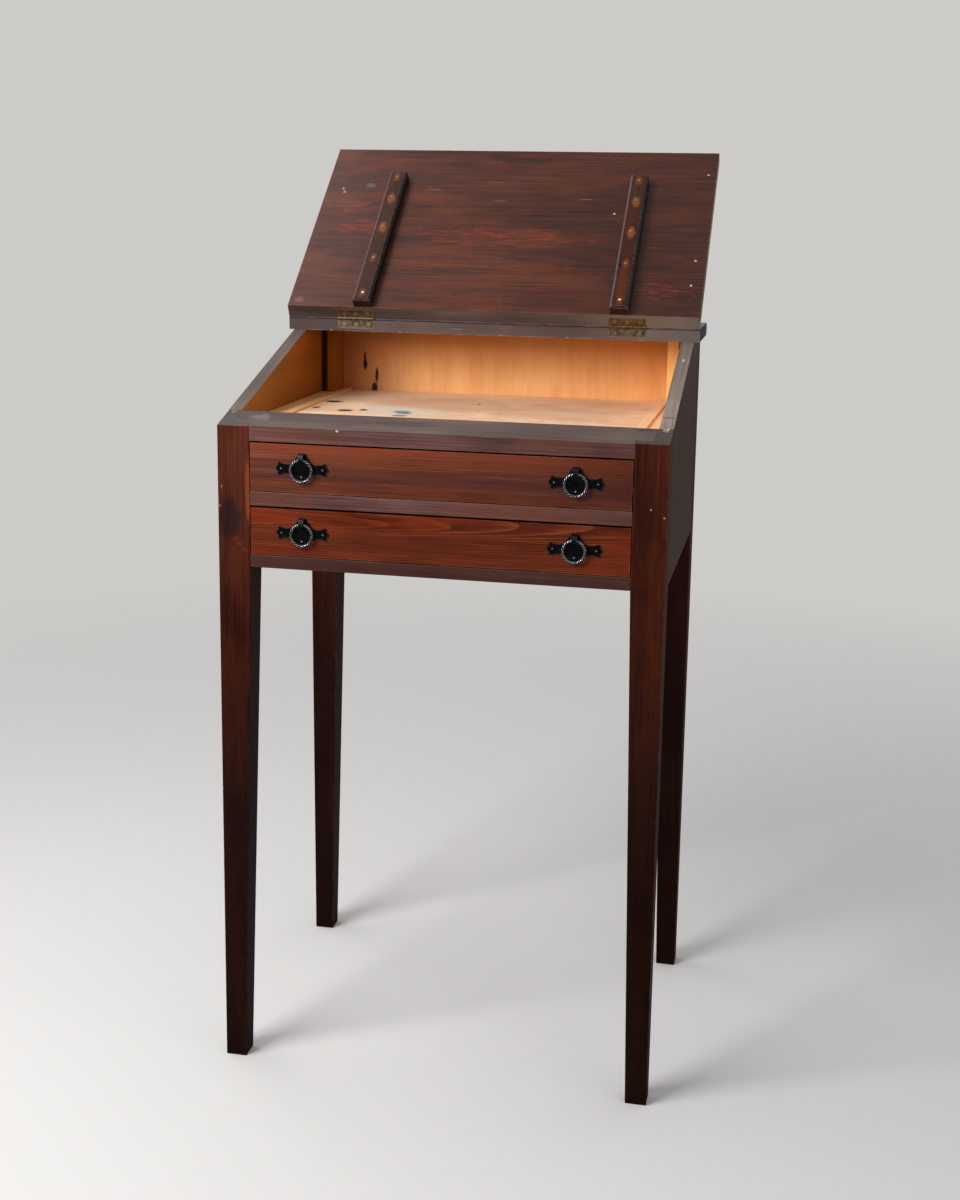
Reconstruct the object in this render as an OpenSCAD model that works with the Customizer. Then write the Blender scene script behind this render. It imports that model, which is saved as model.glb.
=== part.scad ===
// Slant-top standing desk with a lift-up lid, an open writing compartment and two drawers.
// Lengths are millimetres. Inside the modules y runs back from the front faces and z up from
// the floor; in_place() then puts the origin on the floor under the middle of the whole desk.
// Paired pieces are drawn for the right side and mirrored to the left.

/* [Overall] */
// Width across the legs
desk_w = 620; // [560:10:720]
// Depth across the legs
desk_d = 463; // [440:1:500]
// Height of the front legs at the front face
front_h = 938; // [880:1:1000]
// Slope of the writing surface in degrees
slope_deg = 17.1; // [14:0.1:19]
// Distance from the front face back to the hinge line
hinge_y = 337; // [315:1:350]
// Elevation of the lid above level when it leans back, in degrees
lid_elev = 40.7; // [30:0.1:60]

/* [Legs] */
// Width and depth of a leg at the top
leg_w = 46; // [40:1:50]
// Width and depth of a leg at the foot
leg_foot = 30; // [24:1:38]

/* [Case] */
// Thickness of the side panels
side_t = 19; // [16:1:21]
// Thickness of the back panel
back_t = 10; // [6:1:12]
// Distance from the legs' rear faces in to the back panel
back_inset = 3; // [1:0.5:6]
// Height of the top rail's front face
top_rail_h = 20.6; // [16:0.1:24]
// Height of the rail between the drawers
mid_rail_h = 20; // [18:0.5:26]
// Height of the rail under the lower drawer
bottom_rail_h = 18; // [16:0.5:26]
// Height of the upper drawer's opening
upper_open_h = 70; // [66:1:90]
// Height of the lower drawer's opening
lower_open_h = 69; // [66:1:90]
// Height of the compartment floor above the top rail's underside
floor_rise = 19; // [16:0.5:22]
// Thickness of the compartment floor
floor_t = 9; // [6:1:10]
// Width of the strip that holds each side of the floor
strip_w = 14; // [12:1:20]
// Height of a floor strip above the floor
strip_proud = 3; // [2:0.5:5]
// Depth of the grooves that hold the floor
floor_groove = 5; // [3:0.5:7]
// Height and depth of the strip under the floor's rear edge
ledger = 10; // [8:1:10]
// Overhang of the top board and the lid past each side
side_overhang = 8; // [4:1:14]
// Overhang of the top board past the rear legs
rear_overhang = 17; // [10:1:24]

/* [Joints] */
// Thickness of the tongue along each end of a side panel
tongue_t = 8; // [6:1:10]
// Length of that tongue and of the back panel's edge in its groove
tongue_l = 10; // [6:1:12]
// Height of the shoulder under a tongue
tongue_shoulder = 6; // [4:1:10]
// Length of the top rail's lap in a leg
lap_l = 25; // [18:1:27]
// Distance from a leg's front and rear faces in to the lap
lap_inset = 9; // [7:1:12]
// Length of the lower rails' tenons
tenon_l = 20; // [14:1:24]
// Distance from a rail's front and rear faces in to its tenon
tenon_inset = 12; // [10:1:15]
// Distance from a rail's top and bottom faces in to its tenon
tenon_shoulder = 3; // [2:0.5:5]
// Width of the open slot between a side panel and a rear leg's inner part
slot_w = 10; // [6:1:12]
// Depth of that slot
slot_d = 14; // [8:1:16]

/* [Lid] */
// Thickness of the lid
lid_t = 18.5; // [16:0.5:21]
// Overhang of the closed lid past the front face
lid_overhang = 26; // [16:1:34]
// Radius of the lid's upper front edge
lid_nose_r = 6; // [2:0.5:8]
// Gap between the closed lid and the case
lid_gap = 0.3; // [0.2:0.1:0.6]
// Width of a batten
batten_w = 28; // [20:1:32]
// Thickness of a batten
batten_t = 16; // [9:1:17]
// Chamfer round a batten
batten_chamfer = 3; // [1:0.5:4]
// Distance from the lid's ends in to the middle of each batten
batten_inset = 120; // [90:1:160]
// Distance from the lid's rear edge to the battens
batten_near = 1; // [1:1:12]
// Clearance between the battens and the top rail when the lid is closed
batten_rail_gap = 3; // [3:1:12]
// Distance from a batten's ends to its first and last nails
batten_nail_end = 15; // [10:1:24]

/* [Hinges] */
// Length of a hinge
hinge_l = 56; // [40:1:64]
// Distance from the lid's ends in to the middle of each hinge
hinge_inset = 108; // [80:1:150]
// Height of a hinge leaf on its board
leaf_h = 14.5; // [12:0.5:16]
// Thickness of a hinge leaf
leaf_t = 1.5; // [1.2:0.1:2]
// Gap between the lid and the top board when the lid is closed
hinge_gap = 0.6; // [0.5:0.1:1]
// Outer radius of the knuckles
knuckle_r = 2.6; // [2.4:0.1:3]
// Number of knuckles in a hinge
knuckles_n = 5; // [3:2:7]
// Gap between neighbouring knuckles
knuckle_gap = 0.3; // [0.2:0.1:0.5]
// Radius of a hinge pin
pin_r = 1.2; // [1:0.1:1.4]
// Spacing of the screws in a leaf
screw_pitch = 19; // [12:1:20]
// Distance of the screws below the hinge line
screw_drop = 8.5; // [7:0.5:9]
// Radius of a screw's head
screw_head_r = 2.3; // [2:0.1:2.8]
// Radius of a screw's shank
screw_r = 1.2; // [1:0.1:1.5]
// Length of a screw under its head
screw_l = 13; // [10:1:16]

/* [Drawers] */
// Thickness of a drawer front
front_t = 19; // [16:1:22]
// Gap between a drawer front and the legs
front_side_gap = 1; // [0.5:0.1:1.5]
// Gap above a drawer front
front_top_gap = 2.4; // [1:0.1:3]
// Gap under a drawer front
front_bottom_gap = 1; // [0.4:0.1:1.4]
// Thickness of the drawer sides and backs
box_t = 12; // [10:1:14]
// Height of the drawer sides
box_h = 58; // [46:1:60]
// Gap between a drawer side and its guide
box_side_gap = 0.9; // [0.9:0.1:1.5]
// Length of a drawer side's end in the front's rebate
rebate_l = 12; // [8:1:13]
// Thickness of a drawer bottom
bottom_t = 4; // [3:0.5:6]
// Distance from a drawer side's lower edge up to the bottom
bottom_rise = 8; // [6:1:12]
// Depth of the grooves that hold a drawer bottom
bottom_groove = 5; // [3:0.5:6]
// Depth of the housings that hold a drawer back
back_housing = 4; // [2:0.5:6]
// Space between a closed drawer and the back panel
drawer_rear_gap = 25; // [20:1:60]
// Gap between a drawer and what carries or stops it
run_gap = 0.3; // [0.2:0.1:0.5]

/* [Runners] */
// Thickness of a runner
runner_t = 18; // [12:1:18]
// Reach of a runner in from the leg's inner face
runner_reach = 24; // [18:1:30]
// Height of a guide above its runner
guide_h = 24; // [16:1:40]
// Length and height of a drawer stop
stop_l = 12; // [8:1:16]

/* [Pulls] */
// Distance from the legs' inner faces in to the middle of each pull
pull_inset = 75.5; // [60:0.5:120]
// Length of a backplate
plate_l = 74; // [66:1:90]
// Thickness of a backplate
plate_t = 1.6; // [1.2:0.1:2.4]
// Height of a backplate's arms
arm_h = 13; // [10:0.5:16]
// Height of the flared ends
flare_h = 17.5; // [17:0.5:22]
// Radius of the disc behind the ring
disc_r = 15.5; // [14:0.5:17]
// Radius of the ring at the middle of its wire
ring_r = 15; // [13:0.5:17]
// Distance from the disc's middle down to the ring's middle
ring_drop = 2.3; // [1:0.1:3]
// Radius of the ring's wire
wire_r = 2; // [1.6:0.1:2.4]
// Width of the lug that holds the ring
lug_w = 9; // [7:0.5:11]
// Thickness of the lug's wall round the ring
lug_wall = 1.6; // [1.2:0.1:2.2]
// Clearance of the ring in its lug
ring_gap = 0.15; // [0.1:0.05:0.4]
// Radius of the stud at the bottom of the ring
stud_r = 1.8; // [1.4:0.1:2.2]
// Distance from the disc's middle down to the stud
stud_drop = 11; // [9:0.5:11.5]
// Radius of a nail's head
nail_head_r = 2.1; // [1.6:0.1:2.6]
// Height of a nail's head
nail_head_h = 0.9; // [0.6:0.1:1.4]
// Radius of a nail's shank
nail_r = 0.9; // [0.7:0.1:1.2]
// Length of a nail in the wood behind what it holds
nail_l = 12; // [8:1:14]
// Distance from a backplate's ends to its nails
plate_nail_end = 7.5; // [6:0.5:9]

/* [Hidden] */
$fn = 64;
fit = 0.05;             // small clearance, as round pins, screws and nails
batten_nail_at = [0, 0.18, 0.44, 0.71, 1]; // a batten's nails, set by eye from its far end
over = 1;               // how far a cut runs past the face that it opens
plate_flare_l = 12;     // length over which a backplate's end flares
scallop_r = 2.7;        // radius of the scallops in a backplate's end
lobe_r = 3;             // radius of the lobe between the scallops
slot_cut = 0.5;         // width and depth of a screw's slot
dark_stain = "#42201a";
red_stain = "#5c2a1d";
worn_stain = "#4b3533";
raw_pine = "#c48a52";
pale_pine = "#cfa77c";
aged_brass = "#7b6640";
black_iron = "#1b1b1d";
slope_run = tan(slope_deg);
half_w = desk_w / 2;
leg_in = half_w - leg_w;                   // a leg's inner face
side_in = half_w - side_t;                 // a side panel's inner face
rear_y = desk_d - leg_w;                   // the rear legs' front faces
back_y = desk_d - back_inset - back_t;     // the back panel's inner face
top_rail_z = front_h - top_rail_h;
mid_rail_z = top_rail_z - upper_open_h - mid_rail_h;
upper_z = mid_rail_z + mid_rail_h;         // the surface that carries the upper drawer
lower_z = mid_rail_z - lower_open_h;       // the surface that carries the lower drawer
case_z = lower_z - bottom_rail_h;          // the lower edge of the case
floor_z = top_rail_z + floor_rise;
seat_z = slope_z(hinge_y);                 // the top board's underside
strip_in = leg_in - strip_w;
end_x = half_w + side_overhang;            // the ends of the top board and the lid
tongue_out = (side_t - tongue_t) / 2;
board_t = (lid_t + lid_gap - hinge_gap / 2 * sin(slope_deg)) / cos(slope_deg);
axis_y = hinge_y - hinge_gap / 2;          // the hinge axis lies where both top faces meet
axis_z = seat_z + board_t;
lid_l = (hinge_y + lid_overhang) / cos(slope_deg);
lid_travel = 180 + slope_deg - lid_elev;
batten_x = end_x - batten_inset;
hinge_x = end_x - hinge_inset;
pull_x = leg_in - pull_inset;
leaf_d = hinge_gap / 2;                    // a leaf's face, measured from the hinge axis
knuckle_l = hinge_l / knuckles_n;
drawer_d = back_y - drawer_rear_gap;
box_out = leg_in - box_side_gap;           // a drawer side's outer face
box_in = box_out - box_t;
groove_y = front_t - bottom_groove;
bore_r = wire_r + ring_r - sqrt(ring_r * ring_r - lug_w * lug_w / 4) + ring_gap;
lug_r = bore_r + lug_wall;
lug_z = ring_r - ring_drop;                // the ring's axis above the disc's middle
ring_y = plate_t + lug_r - 0.4 * lug_wall; // the ring's plane, in front of the drawer
first_y = -ring_y - lug_r;
last_y = axis_y + (lid_l - lid_nose_r) * cos(lid_elev) + lid_nose_r * (1 - sin(lid_elev));
mid_y = (first_y + last_y) / 2;

// Height of the sloped edges at a distance y behind the front face
function slope_z(y) = front_h + y * slope_run;

// Distance along the closed lid from the hinge line to a point above y on the slope
function along_lid(y) = (hinge_y - y) / cos(slope_deg);

// The lid's bevelled rear edge, upright when the lid is closed, at a height in the lid
function lid_edge(z) = (z * sin(slope_deg) - hinge_gap / 2) / cos(slope_deg);

// Middle heights of the two drawer fronts
function front_mid(z, h) = z + (h + front_bottom_gap - front_top_gap) / 2;

// Placing

module in_place() {
    translate([0, -mid_y, 0]) children();
}

module on_side(s) {
    if (s < 0) mirror([1, 0, 0]) children();
    else children();
}

// A box between pairs of limits
module block(x, y, z) {
    translate([x[0], y[0], z[0]]) cube([x[1] - x[0], y[1] - y[0], z[1] - z[0]]);
}

// A side view, drawn in y and z, between two values of x
module across(x) {
    translate([x[0], 0, 0]) rotate([90, 0, 90]) linear_extrude(x[1] - x[0]) children();
}

// A front view, drawn in x and z, between two values of y
module through(y) {
    translate([0, y[1], 0]) rotate([90, 0, 0]) linear_extrude(y[1] - y[0]) children();
}

module rod_x(x, r) {
    translate([x[0], 0, 0]) rotate([0, 90, 0]) cylinder(h = x[1] - x[0], r = r);
}

// A rod that runs back from y[0] to y[1]
module rod_y(y, r) {
    translate([0, y[1], 0]) rotate([90, 0, 0]) cylinder(h = y[1] - y[0], r = r);
}

// Legs

module leg_front_view(top_z) {
    polygon([[half_w, 0], [half_w, top_z], [leg_in, top_z], [leg_in, case_z],
        [half_w - leg_foot, 0]]);
}

// Hollows for the tenons of the two lower rails
module rail_mortises() {
    for (z = [[mid_rail_z, mid_rail_h], [case_z, bottom_rail_h]])
        block([leg_in - over, leg_in + tenon_l], [tenon_inset, leg_w - tenon_inset],
            [z[0] + tenon_shoulder, z[0] + z[1] - tenon_shoulder]);
}

module front_leg() {
    top_z = slope_z(leg_w);
    difference() {
        intersection() {
            through([0, leg_w]) leg_front_view(top_z);
            across([0, half_w])
                polygon([[0, 0], [0, front_h], [leg_w, top_z], [leg_w, case_z],
                    [leg_foot, 0]]);
        }
        rail_mortises();
        block([leg_in - over, leg_in + lap_l], [lap_inset, leg_w - lap_inset],
            [top_rail_z, top_z + over]);
        block([half_w - side_t + tongue_out, half_w - tongue_out],
            [leg_w - tongue_l, leg_w + over], [case_z + tongue_shoulder, top_z + over]);
    }
}

module rear_leg() {
    difference() {
        intersection() {
            through([rear_y, desk_d]) leg_front_view(seat_z);
            across([0, half_w])
                polygon([[rear_y, case_z], [rear_y, seat_z], [desk_d, seat_z],
                    [desk_d, 0], [desk_d - leg_foot, 0]]);
        }
        block([half_w - side_t + tongue_out, half_w - tongue_out],
            [rear_y - over, rear_y + tongue_l], [case_z + tongue_shoulder, seat_z + over]);
        block([side_in - slot_w, side_in], [rear_y - over, rear_y + slot_d],
            [floor_z, seat_z + over]);
        block([leg_in - over, leg_in + tongue_l], [back_y, back_y + back_t],
            [case_z, seat_z + over]);
    }
}

module leg_front_left() { color(dark_stain) in_place() on_side(-1) front_leg(); }
module leg_front_right() { color(dark_stain) in_place() front_leg(); }
module leg_rear_left() { color(dark_stain) in_place() on_side(-1) rear_leg(); }
module leg_rear_right() { color(dark_stain) in_place() rear_leg(); }

// Case

// A side panel's outline between two ends and above a lower edge
module side_view(front, rear, low) {
    polygon([[front, low], [rear, low], [rear, seat_z], [hinge_y, seat_z],
        [front, slope_z(front)]]);
}

module side_panel() {
    across([side_in, half_w]) side_view(leg_w, rear_y, case_z);
    across([side_in + tongue_out, half_w - tongue_out])
        side_view(leg_w - tongue_l, rear_y + tongue_l, case_z + tongue_shoulder);
}

module side_panel_left() { color(dark_stain) in_place() on_side(-1) side_panel(); }
module side_panel_right() { color(dark_stain) in_place() side_panel(); }

module back_panel() {
    color(raw_pine) in_place()
        block([-leg_in - tongue_l, leg_in + tongue_l], [back_y, back_y + back_t],
            [case_z, seat_z - fit]);
}

// The top rail's side view between two distances from the front face
module top_rail_view(y) {
    polygon([[y[0], top_rail_z], [y[0], slope_z(y[0])], [y[1], slope_z(y[1])],
        [y[1], top_rail_z]]);
}

module top_rail() {
    color(worn_stain) in_place() difference() {
        union() {
            across([-leg_in, leg_in]) top_rail_view([0, leg_w]);
            across([-leg_in - lap_l, leg_in + lap_l])
                top_rail_view([lap_inset, leg_w - lap_inset]);
        }
        block([-strip_in - floor_groove, strip_in + floor_groove],
            [leg_w - floor_groove, leg_w + over], [floor_z - floor_t, floor_z]);
    }
}

// A rail with a tenon at each end, given its lower edge and height
module tenoned_rail(z, h) {
    block([-leg_in, leg_in], [0, leg_w], [z, z + h]);
    block([-leg_in - tenon_l, leg_in + tenon_l], [tenon_inset, leg_w - tenon_inset],
        [z + tenon_shoulder, z + h - tenon_shoulder]);
}

module middle_rail() { color(worn_stain) in_place() tenoned_rail(mid_rail_z, mid_rail_h); }
module bottom_rail() { color(dark_stain) in_place() tenoned_rail(case_z, bottom_rail_h); }

module compartment_floor() {
    color(pale_pine) in_place()
        block([-strip_in - floor_groove, strip_in + floor_groove],
            [leg_w - floor_groove, back_y], [floor_z - floor_t, floor_z]);
}

module floor_ledger() {
    color(raw_pine) in_place()
        block([-strip_in, strip_in], [back_y - ledger, back_y],
            [floor_z - floor_t - ledger, floor_z - floor_t]);
}

module floor_strip() {
    difference() {
        block([strip_in, leg_in], [leg_w, back_y], [top_rail_z, floor_z + strip_proud]);
        block([strip_in - over, strip_in + floor_groove], [leg_w - over, back_y + over],
            [floor_z - floor_t, floor_z]);
    }
}

module floor_strip_left() { color(raw_pine) in_place() on_side(-1) floor_strip(); }
module floor_strip_right() { color(raw_pine) in_place() floor_strip(); }

module kicker() {
    block([leg_in, side_in], [leg_w, rear_y], [top_rail_z, floor_z]);
}

module kicker_left() { color(raw_pine) in_place() on_side(-1) kicker(); }
module kicker_right() { color(raw_pine) in_place() kicker(); }

// Runners, guides and stops, given the height of the surface that a drawer runs on

module runner(z) {
    translate([0, 0, z - runner_t]) linear_extrude(runner_t)
        polygon([[leg_in - runner_reach, leg_w], [side_in, leg_w], [side_in, rear_y],
            [leg_in, rear_y], [leg_in, back_y], [leg_in - runner_reach, back_y]]);
}

module guide(z) {
    block([leg_in, side_in], [leg_w, rear_y], [z, z + guide_h]);
}

module upper_runner_left() { color(raw_pine) in_place() on_side(-1) runner(upper_z); }
module upper_runner_right() { color(raw_pine) in_place() runner(upper_z); }
module lower_runner_left() { color(raw_pine) in_place() on_side(-1) runner(lower_z); }
module lower_runner_right() { color(raw_pine) in_place() runner(lower_z); }
module upper_guide_left() { color(raw_pine) in_place() on_side(-1) guide(upper_z); }
module upper_guide_right() { color(raw_pine) in_place() guide(upper_z); }
module lower_guide_left() { color(raw_pine) in_place() on_side(-1) guide(lower_z); }
module lower_guide_right() { color(raw_pine) in_place() guide(lower_z); }

module drawer_stops() {
    color(raw_pine) in_place()
        for (z = [upper_z, lower_z], s = [-1, 1]) on_side(s)
            block([box_in, leg_in], [drawer_d + run_gap, drawer_d + run_gap + stop_l],
                [z, z + stop_l]);
}

// Top board and hinges, drawn round the hinge axis as they are with the lid closed

module at_axis() {
    in_place() translate([0, axis_y, axis_z]) children();
}

// Swings what is drawn with the lid closed to where the lid leans back
module lid_open() {
    at_axis() rotate([-lid_travel, 0, 0]) children();
}

// Screw places in both hinges
module at_screws() {
    for (s = [-1, 1], i = [-1, 0, 1])
        translate([s * hinge_x + i * screw_pitch, 0, -screw_drop]) children();
}

// What a hinge takes out of a board: the barrel's hollow, a leaf's recess and screw holes.
// side is 1 for the top board behind the axis and -1 for the lid in front of it.
module hinge_cuts(side) {
    for (s = [-1, 1]) {
        x = [s * hinge_x - hinge_l / 2, s * hinge_x + hinge_l / 2];
        rod_x([x[0] - knuckle_gap, x[1] + knuckle_gap], knuckle_r + knuckle_gap);
        mirror([0, side < 0 ? 1 : 0, 0])
            block(x, [leaf_d - over, leaf_d + leaf_t], [-leaf_h, over]);
    }
    mirror([0, side < 0 ? 1 : 0, 0])
        at_screws() rod_y([0, leaf_d + leaf_t + screw_l + fit], screw_r + fit);
}

module top_board() {
    depth = desk_d + rear_overhang - axis_y;
    color(worn_stain) at_axis() difference() {
        across([-end_x, end_x]) {
            translate([leaf_d, -board_t]) square([depth - leaf_d - board_t / 2, board_t]);
            translate([depth - board_t / 2, -board_t / 2]) circle(r = board_t / 2);
        }
        hinge_cuts(1);
    }
}

// The knuckles of one hinge leaf: first is 0 for the outer set and 1 for the set between
module knuckles(first, r, extra) {
    for (i = [first : 2 : knuckles_n - 1])
        rod_x([-hinge_l / 2 + i * knuckle_l + knuckle_gap / 2 - extra,
            -hinge_l / 2 + (i + 1) * knuckle_l - knuckle_gap / 2 + extra], r);
}

module leaf(first) {
    difference() {
        union() {
            difference() {
                block([-hinge_l / 2, hinge_l / 2], [leaf_d, leaf_d + leaf_t], [-leaf_h, 0]);
                knuckles(1 - first, knuckle_r + knuckle_gap, knuckle_gap);
            }
            knuckles(first, knuckle_r, 0);
        }
        rod_x([-hinge_l, hinge_l], pin_r + fit);
        for (i = [-1, 0, 1])
            translate([i * screw_pitch, 0, -screw_drop])
                rod_y([-over, leaf_d + leaf_t + over], screw_head_r + fit);
    }
}

module hinge_pin() {
    rod_x([-hinge_l / 2, hinge_l / 2], pin_r);
}

// Countersunk screws, driven away from the hinge gap
module leaf_screws() {
    at_screws() difference() {
        union() {
            rod_y([leaf_d - slot_cut / 5, leaf_d + leaf_t], screw_head_r);
            rod_y([leaf_d + leaf_t, leaf_d + leaf_t + screw_l], screw_r);
        }
        block([-screw_head_r, screw_head_r], [leaf_d - over, leaf_d + slot_cut],
            [-slot_cut / 2, slot_cut / 2]);
    }
}

module board_leaf(s) {
    color(aged_brass) at_axis() translate([s * hinge_x, 0, 0]) leaf(0);
}

module lid_leaf(s) {
    color(aged_brass) lid_open() translate([s * hinge_x, 0, 0]) mirror([0, 1, 0]) leaf(1);
}

module placed_pin(s) {
    color(aged_brass) at_axis() translate([s * hinge_x, 0, 0]) hinge_pin();
}

module hinge_left_board_leaf() { board_leaf(-1); }
module hinge_right_board_leaf() { board_leaf(1); }
module hinge_left_lid_leaf() { lid_leaf(-1); }
module hinge_right_lid_leaf() { lid_leaf(1); }
module hinge_left_pin() { placed_pin(-1); }
module hinge_right_pin() { placed_pin(1); }
module board_leaf_screws() { color(aged_brass) at_axis() leaf_screws(); }
module lid_leaf_screws() { color(aged_brass) lid_open() mirror([0, 1, 0]) leaf_screws(); }

// Lid, drawn with y along the lid and z square to it, zero at the hinge axis

batten_z = -lid_t - batten_t;
batten_end = [-along_lid(leg_w + batten_rail_gap) - lid_t * slope_run,
    lid_edge(-lid_t) - batten_near];

// Tilts what is drawn level to the closed lid's slope, then swings the lid open
module in_lid() {
    lid_open() rotate([slope_deg, 0, 0]) children();
}

// Nail places on both battens, on the face that looks into the desk
module at_batten_nails() {
    first = batten_end[0] + batten_nail_end;
    span = batten_end[1] - batten_nail_end - first;
    for (s = [-1, 1], share = batten_nail_at)
        translate([s * batten_x, first + share * span, batten_z]) children();
}

// A nail with its head on a face at z = 0 and its shank going up
module nail_up(length) {
    translate([0, 0, -nail_head_h]) cylinder(h = nail_head_h, r = nail_head_r);
    cylinder(h = length, r = nail_r);
}

module nail_hole_up(length) {
    translate([0, 0, -over]) cylinder(h = length + over + fit, r = nail_r + fit);
}

module lid_view() {
    difference() {
        polygon([[-lid_l, -lid_t], [-lid_l, 0], [lid_edge(0), 0], [lid_edge(-lid_t), -lid_t]]);
        difference() {
            translate([-lid_l - over, -lid_nose_r]) square(lid_nose_r + over);
            translate([-lid_l + lid_nose_r, -lid_nose_r]) circle(r = lid_nose_r);
        }
    }
}

module lid_board() {
    color(dark_stain) lid_open() difference() {
        rotate([slope_deg, 0, 0]) difference() {
            across([-end_x, end_x]) lid_view();
            at_batten_nails() nail_hole_up(batten_t + nail_l);
        }
        hinge_cuts(-1);
    }
}

// A length of batten section, chamfered on the two edges away from the lid
module batten_section(half, top) {
    polygon([[-half, -lid_t], [-half, top + batten_chamfer], [-half + batten_chamfer, top],
        [half - batten_chamfer, top], [half, top + batten_chamfer], [half, -lid_t]]);
}

module batten() {
    length = batten_end[1] - batten_end[0];
    difference() {
        intersection() {
            translate([batten_x, 0, 0]) through(batten_end)
                batten_section(batten_w / 2, batten_z);
            translate([0, batten_end[0] + length / 2, 0])
                across([batten_x - batten_w, batten_x + batten_w])
                    batten_section(length / 2, batten_z);
        }
        at_batten_nails() nail_hole_up(batten_t + nail_l);
    }
}

module lid_batten_left() { color(red_stain) in_lid() on_side(-1) batten(); }
module lid_batten_right() { color(red_stain) in_lid() batten(); }

module batten_nails() {
    color(aged_brass) in_lid() at_batten_nails() nail_up(batten_t + nail_l);
}

// Drawers, given the height of the surface that a drawer runs on and its opening's height

module drawer_front(z, h) {
    half = leg_in - front_side_gap;
    low = z + front_bottom_gap;
    high = z + h - front_top_gap;
    groove_z = z + run_gap + bottom_rise;
    color(red_stain) in_place() difference() {
        block([-half, half], [0, front_t], [low, high]);
        for (s = [-1, 1]) on_side(s)
            block([box_in, half + over], [front_t - rebate_l, front_t + over],
                [low - over, high + over]);
        block([-box_in - over, box_in + over], [groove_y, front_t + over],
            [groove_z, groove_z + bottom_t]);
        at_plate_nails(front_mid(z, h)) rod_y([-over, nail_l + fit], nail_r + fit);
    }
}

module drawer_side(z, s) {
    low = z + run_gap;
    color(raw_pine) in_place() on_side(s) difference() {
        block([box_in, box_out], [front_t - rebate_l, drawer_d], [low, low + box_h]);
        block([box_in - over, box_in + bottom_groove], [groove_y, drawer_d + over],
            [low + bottom_rise, low + bottom_rise + bottom_t]);
        block([box_in - over, box_in + back_housing], [drawer_d - 2 * box_t, drawer_d - box_t],
            [low + bottom_rise + bottom_t, low + box_h + over]);
    }
}

module drawer_back(z) {
    low = z + run_gap;
    color(raw_pine) in_place()
        block([-box_in - back_housing, box_in + back_housing],
            [drawer_d - 2 * box_t, drawer_d - box_t],
            [low + bottom_rise + bottom_t, low + box_h]);
}

module drawer_bottom(z) {
    low = z + run_gap + bottom_rise;
    color(pale_pine) in_place()
        block([-box_in - bottom_groove, box_in + bottom_groove], [groove_y, drawer_d - box_t],
            [low, low + bottom_t]);
}

// Pulls, drawn round the middle of a backplate

module at_pull(z, s) {
    translate([s * pull_x, 0, z]) children();
}

module at_plate_nails(z) {
    for (s = [-1, 1], t = [-1, 1])
        at_pull(z, s) translate([t * (plate_l / 2 - plate_nail_end), 0, 0]) children();
}

// One flared end with two scallops and a lobe between them
module plate_end() {
    tip = plate_l / 2;
    difference() {
        polygon([[tip - plate_flare_l, -arm_h / 2], [tip - lobe_r, -flare_h / 2],
            [tip - lobe_r / 2, -flare_h / 2], [tip - lobe_r / 2, flare_h / 2],
            [tip - lobe_r, flare_h / 2], [tip - plate_flare_l, arm_h / 2]]);
        for (s = [-1, 1])
            translate([tip, s * (flare_h / 2 + lobe_r) / 2]) circle(r = scallop_r);
    }
    translate([tip - lobe_r, 0]) circle(r = lobe_r);
}

module plate_view() {
    circle(r = disc_r);
    translate([-plate_l / 2 + plate_flare_l / 2, -arm_h / 2])
        square([plate_l - plate_flare_l, arm_h]);
    plate_end();
    mirror([1, 0]) plate_end();
    polygon([[-disc_r, 0], [-lug_w / 2, ring_r + lug_r], [lug_w / 2, ring_r + lug_r],
        [disc_r, 0]]);
}

// Front view of the lug's neck, between the plate and the barrel that holds the ring
module lug() {
    difference() {
        union() {
            translate([0, -ring_y, lug_z]) rod_x([-lug_w / 2, lug_w / 2], lug_r);
            block([-lug_w / 2, lug_w / 2], [-ring_y, -plate_t / 2],
                [lug_z, lug_z + lug_r]);
        }
        translate([0, -ring_y, lug_z]) rod_x([-lug_w, lug_w], bore_r);
    }
}

module plate(z, s) {
    color(black_iron) in_place() at_pull(z, s) {
        difference() {
            through([-plate_t, 0]) plate_view();
            for (t = [-1, 1])
                translate([t * (plate_l / 2 - plate_nail_end), 0, 0])
                    rod_y([-plate_t - over, over], nail_r + fit);
            translate([0, -ring_y, lug_z]) rod_x([-lug_w / 2, lug_w / 2], bore_r);
        }
        lug();
        translate([0, -stud_r - fit, -stud_drop]) sphere(r = stud_r);
    }
}

module plate_nails(z) {
    color(black_iron) in_place() at_plate_nails(z) {
        rod_y([-plate_t - nail_head_h, -plate_t], nail_head_r);
        rod_y([-plate_t, nail_l], nail_r);
    }
}

module ring(z, s) {
    color(black_iron) in_place() at_pull(z, s)
        translate([0, -ring_y, -ring_drop]) rotate([90, 0, 0])
            rotate_extrude() translate([ring_r, 0]) circle(r = wire_r);
}

upper_mid = front_mid(upper_z, upper_open_h);
lower_mid = front_mid(lower_z, lower_open_h);

module upper_drawer_front() { drawer_front(upper_z, upper_open_h); }
module upper_drawer_side_left() { drawer_side(upper_z, -1); }
module upper_drawer_side_right() { drawer_side(upper_z, 1); }
module upper_drawer_back() { drawer_back(upper_z); }
module upper_drawer_bottom() { drawer_bottom(upper_z); }
module upper_plate_left() { plate(upper_mid, -1); }
module upper_plate_right() { plate(upper_mid, 1); }
module upper_plate_nails() { plate_nails(upper_mid); }
module upper_ring_left() { ring(upper_mid, -1); }
module upper_ring_right() { ring(upper_mid, 1); }
module lower_drawer_front() { drawer_front(lower_z, lower_open_h); }
module lower_drawer_side_left() { drawer_side(lower_z, -1); }
module lower_drawer_side_right() { drawer_side(lower_z, 1); }
module lower_drawer_back() { drawer_back(lower_z); }
module lower_drawer_bottom() { drawer_bottom(lower_z); }
module lower_plate_left() { plate(lower_mid, -1); }
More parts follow.
